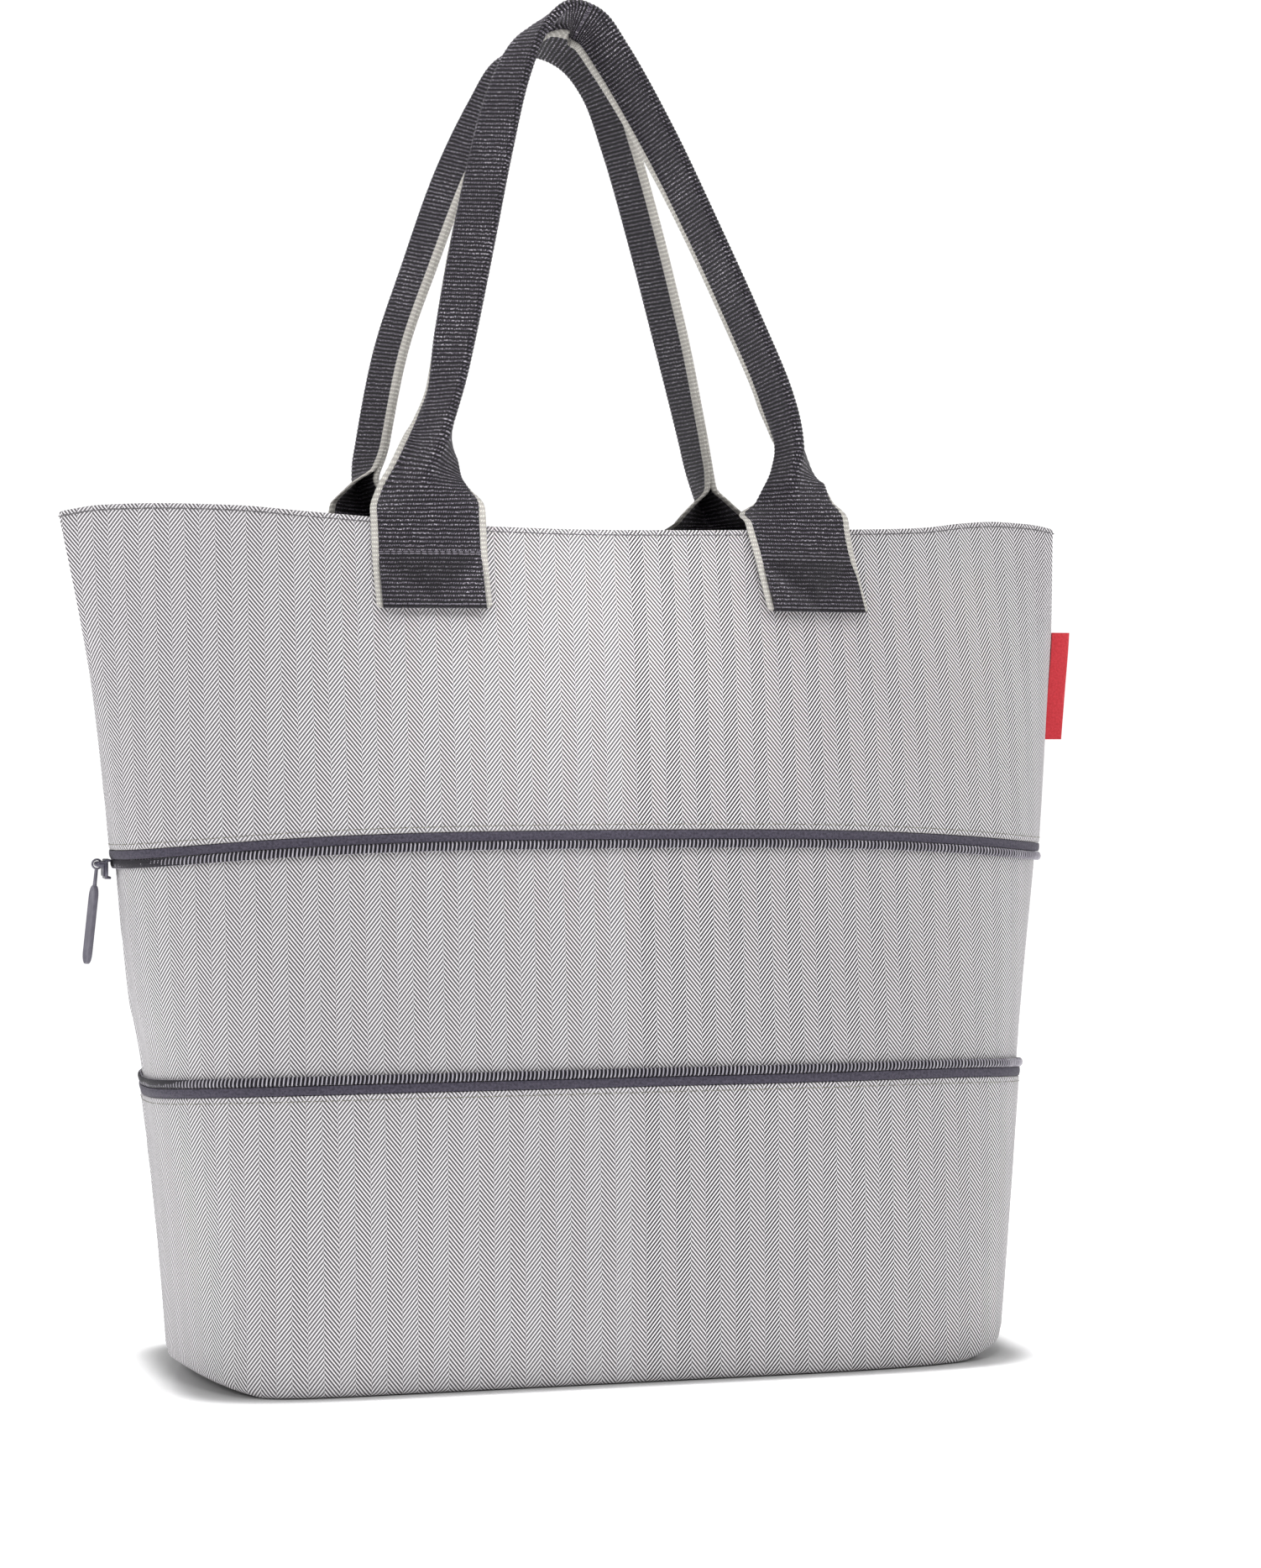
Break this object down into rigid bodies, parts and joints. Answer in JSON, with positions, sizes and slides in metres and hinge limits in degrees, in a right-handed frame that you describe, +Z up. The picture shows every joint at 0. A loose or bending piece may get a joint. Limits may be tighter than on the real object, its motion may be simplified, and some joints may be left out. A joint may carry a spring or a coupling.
{
  "type": "expandable shopper bag",
  "caption": "Soft tote with an opened zip round it above and below a fold-out middle tier, folded webbing handles and a side label.",
  "frame": {"origin": "middle of the flat underside", "axes": "+Z up, +X to the right along the bag's width, +Y from the front panel to the back panel"},
  "size_m": [0.4854, 0.1598, 0.6247],
  "materials": {
    "cloth": "herringbone weave, grey on off-white",
    "tape": "woven zip tape",
    "coil": "moulded coil",
    "slider": "satin enamel",
    "pull": "satin",
    "label": "woven ribbon, bare",
    "webbing": "ribbed webbing",
    "edging": "woven edging"
  },
  "bodies": {
    "bag": {"lower_tier": "cloth", "middle_tier": "cloth", "upper_tier": "cloth", "upper_zip_tape": "tape", "upper_zip_coil": "coil", "lower_zip_tape": "tape", "lower_zip_coil": "coil", "zip_slider": "slider", "side_label": "label", "front_handle": "webbing", "front_handle_inner_cord": "edging", "front_handle_outer_cord": "edging", "back_handle": "webbing", "back_handle_inner_cord": "edging", "back_handle_outer_cord": "edging"},
    "zip_pull": {"zip_pull": "pull"}
  },
  "joints": [
    {"name": "pull_swing", "type": "hinge", "parent": "bag", "child": "zip_pull", "pos_m": [-0.22678, 0, 0.2297], "axis": [0, 1, 0], "range_deg": [-12, 150]}
  ]
}
